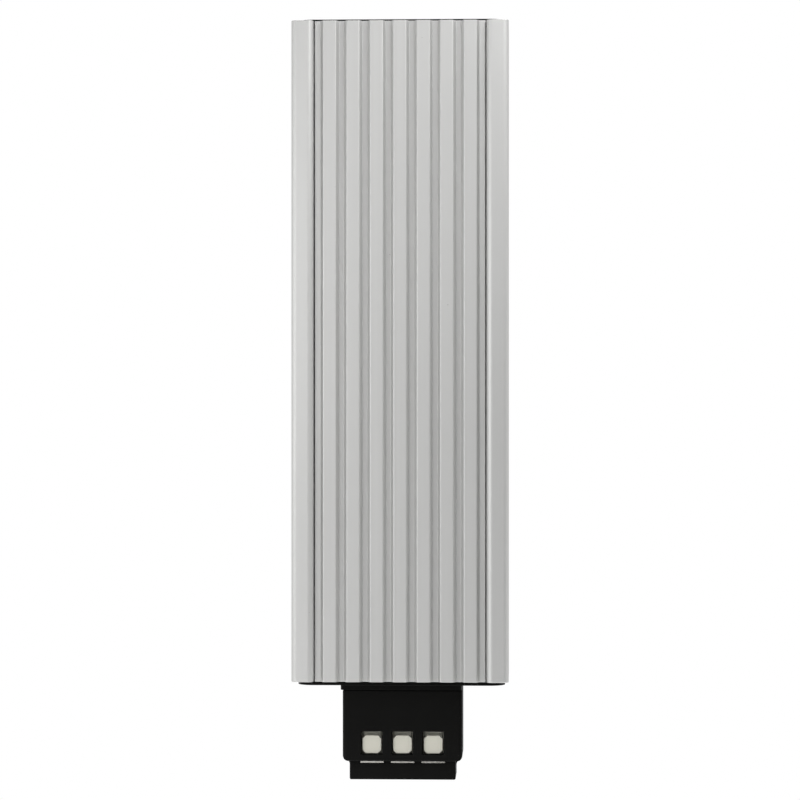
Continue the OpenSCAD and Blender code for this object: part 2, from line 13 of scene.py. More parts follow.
import bmesh
import bpy
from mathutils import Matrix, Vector

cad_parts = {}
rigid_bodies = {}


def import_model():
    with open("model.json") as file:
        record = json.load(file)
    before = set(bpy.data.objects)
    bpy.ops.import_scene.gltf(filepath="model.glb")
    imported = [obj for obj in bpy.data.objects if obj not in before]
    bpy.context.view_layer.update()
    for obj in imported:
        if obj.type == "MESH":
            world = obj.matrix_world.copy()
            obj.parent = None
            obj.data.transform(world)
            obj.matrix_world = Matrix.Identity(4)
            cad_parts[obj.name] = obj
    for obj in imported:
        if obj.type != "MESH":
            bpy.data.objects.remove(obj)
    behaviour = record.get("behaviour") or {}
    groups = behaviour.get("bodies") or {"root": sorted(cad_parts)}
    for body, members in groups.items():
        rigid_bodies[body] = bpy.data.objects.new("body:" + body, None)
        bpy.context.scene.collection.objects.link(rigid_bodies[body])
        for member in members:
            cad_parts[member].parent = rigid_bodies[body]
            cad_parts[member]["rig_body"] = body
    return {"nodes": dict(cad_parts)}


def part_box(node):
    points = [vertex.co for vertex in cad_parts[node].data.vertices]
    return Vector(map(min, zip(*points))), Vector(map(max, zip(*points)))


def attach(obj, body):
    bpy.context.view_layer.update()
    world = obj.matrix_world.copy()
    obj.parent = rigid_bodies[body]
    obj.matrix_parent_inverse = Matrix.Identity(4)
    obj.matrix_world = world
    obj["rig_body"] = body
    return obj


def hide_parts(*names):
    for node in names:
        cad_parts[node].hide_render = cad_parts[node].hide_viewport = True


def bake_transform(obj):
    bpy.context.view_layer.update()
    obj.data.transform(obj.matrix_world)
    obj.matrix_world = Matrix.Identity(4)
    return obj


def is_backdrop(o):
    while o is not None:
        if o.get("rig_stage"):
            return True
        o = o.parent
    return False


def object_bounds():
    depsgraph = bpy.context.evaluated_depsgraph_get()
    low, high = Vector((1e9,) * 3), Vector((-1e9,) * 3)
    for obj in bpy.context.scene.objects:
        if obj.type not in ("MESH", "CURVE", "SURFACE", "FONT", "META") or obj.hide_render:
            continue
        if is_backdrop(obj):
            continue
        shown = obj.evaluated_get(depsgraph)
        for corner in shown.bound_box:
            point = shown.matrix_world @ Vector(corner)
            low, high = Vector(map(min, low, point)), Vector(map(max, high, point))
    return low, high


for stray in list(bpy.data.objects):
    bpy.data.objects.remove(stray)
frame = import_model()
cad_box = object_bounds()
scene = bpy.context.scene
scene.view_settings.view_transform = "Standard"
MM = 0.001

# %% [markdown]
# ## Camera
# The photograph is level and almost square on, taken from a little to the right, so a sliver of each
# right side shows. A long lens keeps the profile's edges parallel. An orthographic camera would do so as
# well, but it loses the slight perspective that tells near from far. The lens follows from the distance
# and from how wide a strip of the front plane fills the picture, so the size in the picture stays right
# at any distance.

# %% Camera
VIEW_WIDTH = 257.0 * MM
VIEW_DISTANCE = 0.94
VIEW_TURN = math.radians(2.25)
VIEW_X = 0.1 * MM
VIEW_Z = -15.7 * MM
NEAREST_SEEN = 0.01

front_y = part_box("heater_profile")[0].y
aim = Vector((VIEW_X, front_y, VIEW_Z))
camera = bpy.data.objects.new("camera", bpy.data.cameras.new("camera"))
camera.location = aim + VIEW_DISTANCE * Vector((math.sin(VIEW_TURN), -math.cos(VIEW_TURN), 0))
camera.rotation_euler = (math.pi / 2, 0, VIEW_TURN)
camera.data.lens = camera.data.sensor_width * VIEW_DISTANCE / VIEW_WIDTH
camera.data.clip_start = NEAREST_SEEN
scene.collection.objects.link(camera)
scene.camera = camera
print("lens", round(camera.data.lens, 1), "mm")

# %% [markdown]
# ## Nodes as arithmetic
# Every finish below varies over the surface, and every repeated piece follows a few sizes. Both could be
# wired node by node, but they are easier to read as arithmetic. `Signal` wraps a socket and turns
# Python's operators into Math nodes, and `Tree` holds a node tree and adds any node with one call.

# %% Signals and trees
class Signal:
    """An output socket that can be used in sums, products and comparisons."""

    def __init__(self, home, socket):
        self.home = home
        self.socket = socket

    def maths(self, operation, first, second):
        return self.home.node("ShaderNodeMath", {"operation": operation}, {0: first, 1: second})

    def most(self, other):
        return self.maths("MAXIMUM", self, other)

    def __abs__(self):
        return self.home.node("ShaderNodeMath", {"operation": "ABSOLUTE"}, {0: self})

    def __add__(self, other):
        return self.maths("ADD", self, other)

    def __radd__(self, other):
        return self.maths("ADD", other, self)

    def __sub__(self, other):
        return self.maths("SUBTRACT", self, other)

    def __rsub__(self, other):
        return self.maths("SUBTRACT", other, self)

    def __mul__(self, other):
        return self.maths("MULTIPLY", self, other)

    def __rmul__(self, other):
        return self.maths("MULTIPLY", other, self)

    def __truediv__(self, other):
        return self.maths("DIVIDE", self, other)

    def __gt__(self, other):
        return self.maths("GREATER_THAN", self, other)

    def __lt__(self, other):
        return self.maths("LESS_THAN", self, other)


class Tree:
    """A node tree with one method that adds any node, sets it up and connects it."""

    def __init__(self, tree):
        self.tree = tree

    def node(self, kind, settings=None, values=None, output=0):
        made = self.tree.nodes.new(kind)
        for key, value in (settings or {}).items():
            setattr(made, key, value)
        for key, value in (values or {}).items():
            self.feed(made.inputs[key], value)
        return Signal(self, made.outputs[output])

    def feed(self, socket, value):
        for one in value if socket.is_multi_input else [value]:
            if isinstance(one, Signal):
                self.tree.links.new(one.socket, socket)
            else:
                socket.default_value = one

    def along(self, vector, axis):
        return self.node("ShaderNodeSeparateXYZ", {}, {0: vector}, output=axis)


print("Signal:", Signal.__doc__)
print("Tree:", Tree.__doc__)

# %% [markdown]
# A material is such a tree as well. `Finish` starts one from its Principled shader and adds what most
# finishes here need: coordinates in millimetres, noise, a blend of two colours and a bump. Object
# coordinates hold the pattern still on the piece, whichever way the camera or the piece moves.

# %% Finishes
NOISE_MEAN = 0.5


class Finish(Tree):
    """One material with its Principled shader."""

    def __init__(self, name, constants):
        self.material = bpy.data.materials.new(name)
        self.material.use_nodes = True
        super().__init__(self.material.node_tree)
        self.shader = self.tree.nodes["Principled BSDF"]
        self.take(constants)

    def take(self, values):
        for key, value in values.items():
            self.feed(self.shader.inputs[key], value)

    def grid(self, per_mm):
        """Object coordinates, stretched so that one unit is 1 / per_mm millimetres along each axis."""
        where = self.node("ShaderNodeTexCoord", output="Object")
        return self.node("ShaderNodeMapping", {}, {"Vector": where, "Scale": [f / MM for f in per_mm]})

    def noise(self, per_mm, detail=2.0, roughness=0.5):
        values = {"Vector": self.grid(per_mm), "Scale": 1.0, "Detail": detail, "Roughness": roughness}
        return self.node("ShaderNodeTexNoise", {}, values)

    def blend(self, factor, first, second):
        values = {0: factor, 6: first, 7: second}
        return self.node("ShaderNodeMix", {"data_type": "RGBA"}, values, output=2)

    def bump(self, height, strength, depth_mm):
        values = {"Strength": strength, "Distance": depth_mm * MM, "Height": height}
        return self.node("ShaderNodeBump", {}, values)


def tint(red, green, blue):
    return (red, green, blue, 1.0)


def describe(*materials):
    for material in materials:
        print(material.name, len(material.node_tree.nodes), "nodes")


print("Finish:", Finish.__doc__)

# %% [markdown]
# ## Anodised aluminium
# The profile is drawn through a die, so fine lines run along its whole length, and a satin anodised skin
# blurs what it mirrors. An anisotropic shader could blur it one way, but it leaves no lines to see. So
# noise that is stretched along Z gives the lines, and a second, coarse noise the slow change of tone. The
# ends are cut by a saw: where the surface faces up or down, arcs of a large blade replace the die lines.
# The floors between the ridges are painted a little darker, as painted shade where the ridges hide them
# from the light, and a few dark specks lie on the skin. Position and normal tell the shader which of
# these it is on, so the profile stays one piece with one material.

# %% Aluminium
DIE_LINES_PER_MM = (7.0, 7.0, 0.012)
WIDE_LINES_PER_MM = (1.1, 1.1, 0.006)
CLOUDS_PER_MM = (0.03, 0.03, 0.02)
SPECKS_PER_MM = (0.075, 0.075, 0.075)
SPECK_RADIUS = 0.014
SPECK_STRENGTH = 0.5
SPECK_TONE = tint(0.2, 0.19, 0.18)
SKIN_DARK = tint(0.57, 0.57, 0.562)
SKIN_LIGHT = tint(0.63, 0.63, 0.622)
SKIN_ROUGHNESS = 0.55
SAW_CENTRE_MM = (-90.0, 20.0, 0.0)
SAW_WAVE = {"Scale": 1.3, "Distortion": 1.5, "Detail": 3.0, "Detail Scale": 2.0}
SAW_DEPTH = 2.0
FACES_END = 0.8
FACES_FRONT = -0.9
VALLEY_MM = -44.6
SHOULDER_MM = 25.6
# painted shade: how much darker the floors between the ridges are painted, where the ridges shade them
VALLEY_PAINTED_SHADE = 0.11


def aluminium_finish():
    finish = Finish("satin_aluminium", {"Metallic": 1.0})
    die_lines = finish.noise(DIE_LINES_PER_MM, detail=4.0, roughness=0.65)
    wide_lines = finish.noise(WIDE_LINES_PER_MM)
    clouds = finish.noise(CLOUDS_PER_MM)
    where = finish.node("ShaderNodeTexCoord", output="Object")
    facing = finish.node("ShaderNodeNewGeometry", output="Normal")
    cut_end = abs(finish.along(facing, "Z")) > FACES_END
    deep = (finish.along(where, "Y") > VALLEY_MM * MM) * (finish.along(facing, "Y") < FACES_FRONT)
    valley = deep * (abs(finish.along(where, "X")) < SHOULDER_MM * MM)
    blade = finish.node("ShaderNodeMapping", {}, {
        "Vector": where, "Location": [-c for c in SAW_CENTRE_MM], "Scale": (1 / MM, 1 / MM, 0.0)})
    rings = {"wave_type": "RINGS", "rings_direction": "SPHERICAL"}
    saw = finish.node("ShaderNodeTexWave", rings, SAW_WAVE | {"Vector": blade}, output=1)
    spots = finish.node("ShaderNodeTexVoronoi", {"feature": "F1"}, {
        "Vector": finish.grid(SPECKS_PER_MM), "Scale": 1.0})
    skin = finish.blend(0.5 * clouds + 0.3 * wide_lines + 0.2 * die_lines, SKIN_DARK, SKIN_LIGHT)
    skin = finish.blend((spots < SPECK_RADIUS) * SPECK_STRENGTH, skin, SPECK_TONE)
    # painted shade: the valley floors are blended towards black, as if shaded by the ridges
    skin = finish.blend(valley * VALLEY_PAINTED_SHADE, skin, tint(0, 0, 0))
    relief = die_lines * (1 - cut_end) + SAW_DEPTH * saw * cut_end
    finish.take({
        "Base Color": skin,
        "Roughness": SKIN_ROUGHNESS + 0.1 * die_lines + 0.05 * saw * cut_end,
        "Normal": finish.bump(relief, strength=0.25, depth_mm=0.01),
    })
    return finish.material


ALUMINIUM = aluminium_finish()
describe(ALUMINIUM)

# %% [markdown]
# ## Moulded plastics
# The caps, the housing and the block are moulded in black with a fine eroded texture, which scatters the
# light so that only the edges catch it. The pushers are cream and smoother. The texture is far too fine
# to model, so each gets a grain of bumps, and a slow noise lets tone and gloss flow a little, as they do
# in a real mould.

# %% Plastics
FLOW_PER_MM = (0.12, 0.12, 0.12)


def moulded_finish(name, dark, light, roughness, grain_per_mm, depth_mm, specular):
    finish = Finish(name, {"Specular IOR Level": specular})
    grain = finish.noise([grain_per_mm] * 3, detail=3.0, roughness=0.6)
    flow = finish.noise(FLOW_PER_MM, detail=3.0)
    finish.take({
        "Base Color": finish.blend(0.7 * flow + 0.3 * grain, dark, light),
        "Roughness": roughness + 0.12 * (grain - NOISE_MEAN) + 0.1 * (flow - NOISE_MEAN),
        "Normal": finish.bump(grain, strength=0.35, depth_mm=depth_mm),
    })
    return finish.material


BLACK = moulded_finish(
    "matt_black", tint(0.003, 0.003, 0.0028), tint(0.006, 0.006, 0.0055),
    roughness=0.5, grain_per_mm=5.0, depth_mm=0.02, specular=0.08)
CREAM = moulded_finish(
    "cream_moulding", tint(0.71, 0.695, 0.605), tint(0.77, 0.755, 0.66),
    roughness=0.42, grain_per_mm=2.5, depth_mm=0.008, specular=0.4)
FRAME = moulded_finish(
    "carrier_moulding", tint(0.6, 0.54, 0.37), tint(0.7, 0.64, 0.46),
    roughness=0.5, grain_per_mm=3.0, depth_mm=0.01, specular=0.4)
FILM = moulded_finish(
    "amber_film", tint(0.48, 0.22, 0.03), tint(0.6, 0.3, 0.05),
    roughness=0.22, grain_per_mm=1.5, depth_mm=0.004, specular=0.5)
BROWN = moulded_finish(
    "brown_silicone", tint(0.12, 0.045, 0.015), tint(0.17, 0.07, 0.025),
    roughness=0.45, grain_per_mm=3.0, depth_mm=0.01, specular=0.4)
BLUE = moulded_finish(
    "blue_silicone", tint(0.03, 0.1, 0.34), tint(0.05, 0.14, 0.44),
    roughness=0.45, grain_per_mm=3.0, depth_mm=0.01, specular=0.4)
describe(BLACK, CREAM, FRAME, FILM, BROWN, BLUE)

# %% [markdown]
# The earth lead is green with a yellow stripe that winds round it. The stripe could be a piece of its
# own, but it is only colour, so a wave along the lead is cut to hard bands.

# %% Striped insulation
STRIPES_PER_MM = (0.6, 0.35, 0.35)
STRIPE_SCALE = 0.5
STRIPE_EDGE = 0.6
STRIPE_GRAIN_PER_MM = (3.0, 3.0, 3.0)


def striped_finish(name, ground, stripe):
    finish = Finish(name, {"Roughness": 0.45})
    bands = finish.node("ShaderNodeTexWave", {"bands_direction": "DIAGONAL"}, {
        "Vector": finish.grid(STRIPES_PER_MM), "Scale": STRIPE_SCALE}, output=1)
    grain = finish.noise(STRIPE_GRAIN_PER_MM)
    finish.take({
        "Base Color": finish.blend(bands > STRIPE_EDGE, ground, stripe),
        "Normal": finish.bump(grain, strength=0.3, depth_mm=0.01),
    })
    return finish.material


GREEN = striped_finish("striped_silicone", tint(0.07, 0.26, 0.03), tint(0.72, 0.6, 0.04))
describe(GREEN)

# %% [markdown]
# ## Metals
# Sheet metal is rolled, so its grain runs one way, and plating dulls unevenly. Each metal could have a
# tree of its own, but one function serves the clip, the springs, the tinned cages, the electrodes and the
# zinc-plated screws: only tone, gloss and grain direction differ.

# %% Metals
TARNISH_PER_MM = (0.22, 0.22, 0.22)


def metal_finish(name, dull, bright, roughness, grain_per_mm):
    finish = Finish(name, {"Metallic": 1.0})
    grain = finish.noise(grain_per_mm, detail=3.0, roughness=0.6)
    tarnish = finish.noise(TARNISH_PER_MM, detail=4.0)
    finish.take({
        "Base Color": finish.blend(0.75 * tarnish + 0.25 * grain, dull, bright),
        "Roughness": roughness + 0.14 * (grain - NOISE_MEAN) + 0.12 * (tarnish - NOISE_MEAN),
        "Normal": finish.bump(grain, strength=0.2, depth_mm=0.008),
    })
    return finish.material


SPRING = metal_finish(
    "bright_spring_sheet", tint(0.46, 0.46, 0.47), tint(0.62, 0.62, 0.63),
    roughness=0.3, grain_per_mm=(0.15, 4.0, 4.0))
ZINC = metal_finish(
    "zinc_plating", tint(0.5, 0.51, 0.53), tint(0.68, 0.68, 0.7),
    roughness=0.3, grain_per_mm=(3.0, 3.0, 3.0))
TINNED = metal_finish(
    "tin_plating", tint(0.6, 0.58, 0.53), tint(0.85, 0.84, 0.8),
    roughness=0.25, grain_per_mm=(0.3, 3.0, 3.0))
ELECTRODE = metal_finish(
    "rolled_strip", tint(0.62, 0.62, 0.62), tint(0.78, 0.78, 0.78),
    roughness=0.28, grain_per_mm=(5.0, 5.0, 0.1))
describe(SPRING, ZINC, TINNED, ELECTRODE)

# %% [markdown]
# The heating stones are sintered from powder: dark grey, with pale flecks and a rough face. Cutting a
# fine noise at a level leaves single flecks, which a soft blend would smear.

# %% Ceramic
BODY_PER_MM = (1.2, 1.2, 1.2)
FLECKS_PER_MM = (6.0, 6.0, 6.0)
FLECK_LEVEL = 0.64
STONE_DARK = tint(0.09, 0.085, 0.08)
STONE_PALE = tint(0.3, 0.29, 0.27)


def ceramic_finish(name):
    finish = Finish(name, {"Specular IOR Level": 0.3})
    body = finish.noise(BODY_PER_MM, detail=4.0)
    flecks = finish.noise(FLECKS_PER_MM, detail=1.0) > FLECK_LEVEL
    finish.take({
        "Base Color": finish.blend(0.6 * body + 0.4 * flecks, STONE_DARK, STONE_PALE),
        "Roughness": 0.6 + 0.2 * body,
        "Normal": finish.bump(body, strength=0.4, depth_mm=0.03),
    })
    return finish.material


CERAMIC = ceramic_finish("sintered_stone")
describe(CERAMIC)

# %% [markdown]
# ## Soft edges
# No real edge is perfectly sharp: a moulding has small radii, an extrusion and a stamping are deburred,
# and those narrow rounded bands are what catches the light. A Bevel node in the material could fake them,
# but only in one renderer, so the meshes are rounded. The CAD solids arrive as loose triangles. Each is
# copied, its points are joined, and a Bevel modifier rounds every edge that is sharper than the facets of
# a curve. Loop Slide is off, so the rounding is equally wide everywhere and doesn't follow the triangles'
# edges. Weighted normals keep the large faces flat in the light. The copy then takes the solid's place.

# %% Soft edges
JOIN_DISTANCE = 1e-6
SHARPEST = 32.0
FLAT_WEIGHT = 100


def stand_for(piece, node, bend=None):
    """Lets a finished piece take a solid's place: on the solid's body, or set in place on no body when a bend
    is given.
    """
    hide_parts(node)
    if bend:
        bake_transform(piece)
    else:
        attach(piece, frame["nodes"][node]["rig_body"])


def soften(piece, radius_mm, segments=3, sharpest=SHARPEST):
    """Rounds every edge sharper than an angle, and keeps the faces beside it flat in the light."""
    piece.data.shade_smooth()
    piece.data.set_sharp_from_angle(angle=math.radians(sharpest))
    rounding = piece.modifiers.new("soft edges", "BEVEL")
    rounding.limit_method = "ANGLE"
    rounding.angle_limit = math.radians(sharpest)
    rounding.width = radius_mm * MM
    rounding.segments = segments
    rounding.use_clamp_overlap = False
    rounding.loop_slide = False
    flats = piece.modifiers.new("flat faces", "WEIGHTED_NORMAL")
    flats.weight = FLAT_WEIGHT
    flats.keep_sharp = True


def soft_copy(node, name, material, radius_mm, bend=None, **edges):
    """Copies a solid with joined points, softens the copy and puts it in the solid's place."""
    mesh = frame["nodes"][node].data.copy()
    mesh.name = name
    form = bmesh.new()
    form.from_mesh(mesh)
    bmesh.ops.remove_doubles(form, verts=form.verts, dist=JOIN_DISTANCE)
    form.to_mesh(mesh)
    form.free()
    mesh.materials.clear()
    mesh.materials.append(material)
    piece = bpy.data.objects.new(name, mesh)
    scene.collection.objects.link(piece)
    soften(piece, radius_mm, **edges)
    stand_for(piece, node, bend)
    return piece


# %% [markdown]
# ## Profile, caps, terminals and clip
# The large pieces come first. Their radii follow the real ones: about 0.15 mm on an extrusion's edges and
# on sheet, and up to 0.22 mm on mouldings. One radius for all would be simpler, but then the metal would
# look moulded.

# %% Large pieces
soft_copy("heater_profile", "ridged_profile", ALUMINIUM, radius_mm=0.15)
soft_copy("top_cap", "upper_plate", BLACK, radius_mm=0.2)
soft_copy("bottom_cap", "lower_plate", BLACK, radius_mm=0.2)
soft_copy("terminal_housing", "clamp_housing", BLACK, radius_mm=0.22)
soft_copy("terminal_block", "clamp_block", BLACK, radius_mm=0.12)
soft_copy("rail_clip", "clip_sheet", SPRING, radius_mm=0.15)

# %% [markdown]
# ## Clamps
# In each clamp a leaf spring presses the wire to the lip of a folded cage, and a pusher opens the spring.
# Where thin sheet is folded, the facets of the bend stay out of the rounding, so only its outline is
# softened. Below the housing the front fold of each cage shows as a bright sliver. A round fold would
# mirror the shade below it, so the points on its outer side are drawn out to a tight corner. When a
# pusher goes in, the rear leg of its spring stays on the cage and the front leg follows; riding on either
# body would let the pusher cut through it. Here the spring is only set in place on no body: the rear of
# its bend and the knee behind the pusher are worked out and printed, but nothing bends it between them.

# %% Clamps
POLES = ("live", "neutral", "earth")
THIN_SHEET = {"segments": 2, "sharpest": 50.0}
FOLD_R = 1.05 * MM
FOLD_SLACK = 0.02 * MM
KNEE_ROOM = 3.4 * MM


def tighten_fold(sheet, low):
    """Draws the outer side of the front fold out to a corner, inside the box that the sheet already fills."""
    moved = 0
    for point in sheet.data.vertices:
        back = low.y + FOLD_R - point.co.y
        down = low.z + FOLD_R - point.co.z
        if min(back, down) > 0 and abs(math.hypot(back, down) - FOLD_R) < FOLD_SLACK:
            stretch = FOLD_R / max(back, down) - 1
            point.co.y -= stretch * back
            point.co.z -= stretch * down
            moved += 1
    print(sheet.name, moved, "points moved")


for pole in POLES:
    soft_copy(pole + "_pusher", pole + "_push_button", CREAM, radius_mm=0.18)
    cage = soft_copy(pole + "_cage", pole + "_clamp_cage", TINNED, radius_mm=0.06, **THIN_SHEET)
    tighten_fold(cage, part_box(pole + "_cage")[0])
    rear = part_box(pole + "_spring")[1]
    knee = Vector((rear.x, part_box(pole + "_pusher")[1].y + KNEE_ROOM, rear.z))
    follow = ("heater", pole + "_pusher", rear, knee)
    soft_copy(pole + "_spring", pole + "_leaf_spring", SPRING, radius_mm=0.06, bend=follow, **THIN_SHEET)
    print(pole, "spring bends over", round((rear.y - knee.y) / MM, 2), "mm")

# %% [markdown]
# ## Inside
# The heating pack and the wiring only show when the heater is opened. They could stay plain, but the
# model may be taken apart, so they get the same care.

# %% Hidden pieces
soft_copy("stone_frame", "stone_carrier", FRAME, radius_mm=0.1)
soft_copy("front_electrode", "front_contact", ELECTRODE, radius_mm=0.06)
soft_copy("rear_electrode", "rear_contact", ELECTRODE, radius_mm=0.06)
soft_copy("insulating_sleeve", "film_tube", FILM, radius_mm=0.05)
soft_copy("live_lead", "brown_wire", BROWN, radius_mm=0.08)
soft_copy("neutral_lead", "blue_wire", BLUE, radius_mm=0.08)
soft_copy("earth_lead", "striped_wire", GREEN, radius_mm=0.08)
soft_copy("earth_tag", "earthing_tag", TINNED, radius_mm=0.06, **THIN_SHEET)
soft_copy("earth_screw", "earthing_screw", ZINC, radius_mm=0.06)

# %% [markdown]
# ## What repeats
# Six screws are alike, and so are the stones of the heating pack, so each is described once and set on
# points. That is a job for Geometry Nodes: a `Recipe` is a tree with named sizes. It could stay a live
# modifier, but instances get lost on the way to other programs, so the tree ends by realizing them and
# the result becomes a plain mesh.

# %% Recipes
class Recipe(Tree):
    """Geometry Nodes that set one shape on every point of a carrier."""

    KINDS = {"Points": "NodeSocketGeometry", "Turn": "NodeSocketRotation", "Finish": "NodeSocketMaterial"}

    def __init__(self, name, sizes):
        super().__init__(bpy.data.node_groups.new(name, "GeometryNodeTree"))
        kinds = self.KINDS | {label: "NodeSocketFloat" for label in sizes}
        self.keys = {}
        for label, kind in kinds.items():
            socket = self.tree.interface.new_socket(label, in_out="INPUT", socket_type=kind)
            self.keys[label] = socket.identifier
        self.tree.interface.new_socket("Pieces", in_out="OUTPUT", socket_type="NodeSocketGeometry")
        self.given = self.tree.nodes.new("NodeGroupInput")
        self.result = self.tree.nodes.new("NodeGroupOutput")

    def size(self, label):
        return Signal(self, self.given.outputs[label])

    def block(self, width, depth, height):
        edges = self.node("ShaderNodeCombineXYZ", {}, {"X": width, "Y": depth, "Z": height})
        return self.node("GeometryNodeMeshCube", {}, {"Size": edges})

    def lifted(self, shape, height):
        step = self.node("ShaderNodeCombineXYZ", {}, {"Z": height})
        return self.node("GeometryNodeTransform", {}, {"Geometry": shape, "Translation": step})

    def repeat(self, shape):
        """Ends the tree: the shape on every point, turned, realized and with its finish."""
        copies = self.node("GeometryNodeInstanceOnPoints", {}, {
            "Points": self.size("Points"), "Instance": shape, "Rotation": self.size("Turn")})
        solid = self.node("GeometryNodeRealizeInstances", {}, {"Geometry": copies})
        coated = self.node("GeometryNodeSetMaterial", {}, {
            "Geometry": solid, "Material": self.size("Finish")})
        self.feed(self.result.inputs["Pieces"], coated)

    def make(self, name, points, values):
        """Runs the tree on some points and leaves a plain mesh."""
        carrier = bpy.data.objects.new(name, bpy.data.meshes.new(name + "_points"))
        carrier.data.from_pydata(points, [], [])
        scene.collection.objects.link(carrier)
        grower = carrier.modifiers.new("recipe", "NODES")
        grower.node_group = self.tree
        for label, value in values.items():
            grower[self.keys[label]] = value
        grown = carrier.evaluated_get(bpy.context.evaluated_depsgraph_get())
        mesh = bpy.data.meshes.new_from_object(grown)
        mesh.name = name
        carrier.modifiers.remove(grower)
        carrier.data = mesh
        return carrier


print("every recipe takes", ", ".join(Recipe.KINDS), "and its own sizes")

# %% [markdown]
# ## Screws
# The caps and the clip are held by countersunk screws with a cross recess. A thread could be a bump in
# the material, but a bump has no outline. So a screw is a core, a cone for its head and a thread wound
# round the core as a helix, inside the radius of the solid's plain shank. One Boolean joins the cone to
# the core, another sinks the recess, whose sizes are given in head radii.

# %% Screw recipe
SCREW_SIZES = {
    "Shank Radius": 1.25 * MM, "Head Radius": 2.3 * MM, "Pitch": 1.1 * MM, "Thread Depth": 0.2 * MM}
SCREW_LABELS = [*SCREW_SIZES, "Length"]
RECESS_L = 1.1
RECESS_W = 0.3
RECESS_H = 0.8
SHALLOWER = 0.95
ROUND_SIDES = 48
TURN_STEPS = 20
WEDGE_SIDES = 3


def screw_recipe():
    recipe = Recipe("cross_screw", SCREW_LABELS)
    shank, head, pitch, depth, length = (recipe.size(label) for label in SCREW_LABELS)
    sink = head - shank
    core_r = shank - depth
    core = recipe.node("GeometryNodeMeshCylinder", {}, {
        "Vertices": ROUND_SIDES, "Radius": core_r, "Depth": length - 0.5 * sink})
    cone = recipe.node("GeometryNodeMeshCone", {}, {
        "Vertices": ROUND_SIDES, "Radius Bottom": shank, "Radius Top": head, "Depth": sink})
    form = recipe.node("GeometryNodeMeshBoolean", {"operation": "UNION"}, {1: [
        recipe.lifted(core, -0.5 * length - 0.25 * sink), recipe.lifted(cone, 0 - sink)]})
    along_x = recipe.block(RECESS_L * head, RECESS_W * head, RECESS_H * head)
    along_y = recipe.block(RECESS_W * head, RECESS_L * head, RECESS_H * SHALLOWER * head)
    form = recipe.node("GeometryNodeMeshBoolean", {"operation": "DIFFERENCE"}, {
        0: form, 1: [along_x, along_y]})
    run = length - sink - pitch
    helix = recipe.node("GeometryNodeCurveSpiral", {}, {
        "Resolution": TURN_STEPS, "Rotations": run / pitch,
        "Start Radius": core_r, "End Radius": core_r, "Height": run})
    wedge = recipe.node("GeometryNodeCurvePrimitiveCircle", {}, {"Resolution": WEDGE_SIDES, "Radius": depth})
    thread = recipe.node("GeometryNodeCurveToMesh", {}, {
        "Curve": helix, "Profile Curve": wedge, "Fill Caps": True})
    thread = recipe.lifted(thread, pitch * 0.5 - length)
    recipe.repeat(recipe.node("GeometryNodeJoinGeometry", {}, {0: [form, thread]}))
    return recipe


SCREW = screw_recipe()
print(SCREW.tree.name, len(SCREW.tree.nodes), "nodes")

# %% [markdown]
# The screws lie where their solids lie: the box of each pair gives the length and both axes, so no place
# has to be written down twice. The recipe's screw has its head at the top, and a turn about X brings the
# head to the side that it belongs to.

# %% Screw pairs
ALONG_Y = 1
ALONG_Z = 2


def screw_pair(node, name, along, heads_high, turn):
    low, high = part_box(node)
    centres = []
    for x in (low.x + SCREW_SIZES["Head Radius"], high.x - SCREW_SIZES["Head Radius"]):
        centre = (low + high) / 2
        centre.x = x
        centre[along] = high[along] if heads_high else low[along]
        centres.append(centre)
    values = SCREW_SIZES | {"Length": high[along] - low[along], "Turn": (turn, 0.0, 0.0), "Finish": ZINC}
    piece = SCREW.make(name, centres, values)
    soften(piece, radius_mm=0.05, segments=2, sharpest=40.0)
    stand_for(piece, node)
    print(name, len(piece.data.polygons), "faces")


screw_pair("top_cap_screws", "upper_screws", along=ALONG_Z, heads_high=True, turn=0.0)
screw_pair("bottom_cap_screws", "lower_screws", along=ALONG_Z, heads_high=False, turn=math.pi)
screw_pair("rail_clip_screws", "clip_screws", along=ALONG_Y, heads_high=True, turn=-math.pi / 2)

# %% [markdown]
# ## Heating stones
# Ceramic stones carry the current between the two contact strips and heat up until their own resistance
# stops it. They stand in a row in their carrier. Copying eight blocks by hand would work too, but one
# block on evenly spaced points makes them all.

# %% Heating stones
STONE_COUNT = 8
STONE_H = 15.0 * MM

stone_low, stone_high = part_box("heating_stones")
stone_pitch = (stone_high.z - stone_low.z - STONE_H) / (STONE_COUNT - 1)
stone_mid = (stone_low + stone_high) / 2
stone_sizes = {
    "Width": stone_high.x - stone_low.x, "Thickness": stone_high.y - stone_low.y, "Height": STONE_H}
stone_row = Recipe("stone_row", stone_sizes)
stone_row.repeat(stone_row.block(*[stone_row.size(label) for label in stone_sizes]))
stone_places = []
for i in range(STONE_COUNT):
    stone_places.append((stone_mid.x, stone_mid.y, stone_low.z + STONE_H / 2 + i * stone_pitch))
stones = stone_row.make("stones", stone_places, stone_sizes | {"Finish": CERAMIC})
soften(stones, radius_mm=0.2)
stand_for(stones, "heating_stones")
print(STONE_COUNT, "stones,", round(stone_pitch / MM, 2), "mm apart")

# %% [markdown]
# ## Light
# Satin metal shows the room around it, softly. In the photograph the front is even at the top and grows
# darker towards the lower right, so the light comes from the left and from above. Three panels stand to
# the left, the lowest near the floor. A large one to the right softens the far side, and a small one
# above it keeps the upper right end light. The last, weak and low in front, is there for the narrow metal
# lips under the housing, which mirror it. Together they light a surface at about the level at which its
# colour looks as it is written. One large softbox would be simpler, but it would light all ridges alike.

# %% Light
LIGHT_AIM = Vector((0.0, front_y + 12.0 * MM, 0.0))


def panel(name, place, side, watts):
    lamp = bpy.data.objects.new(name, bpy.data.lights.new(name, "AREA"))
    lamp.data.shape = "SQUARE"
    lamp.data.size = side
    lamp.data.energy = watts
    lamp.location = place
    lamp.rotation_euler = (LIGHT_AIM - Vector(place)).to_track_quat("-Z", "Y").to_euler()
    scene.collection.objects.link(lamp)


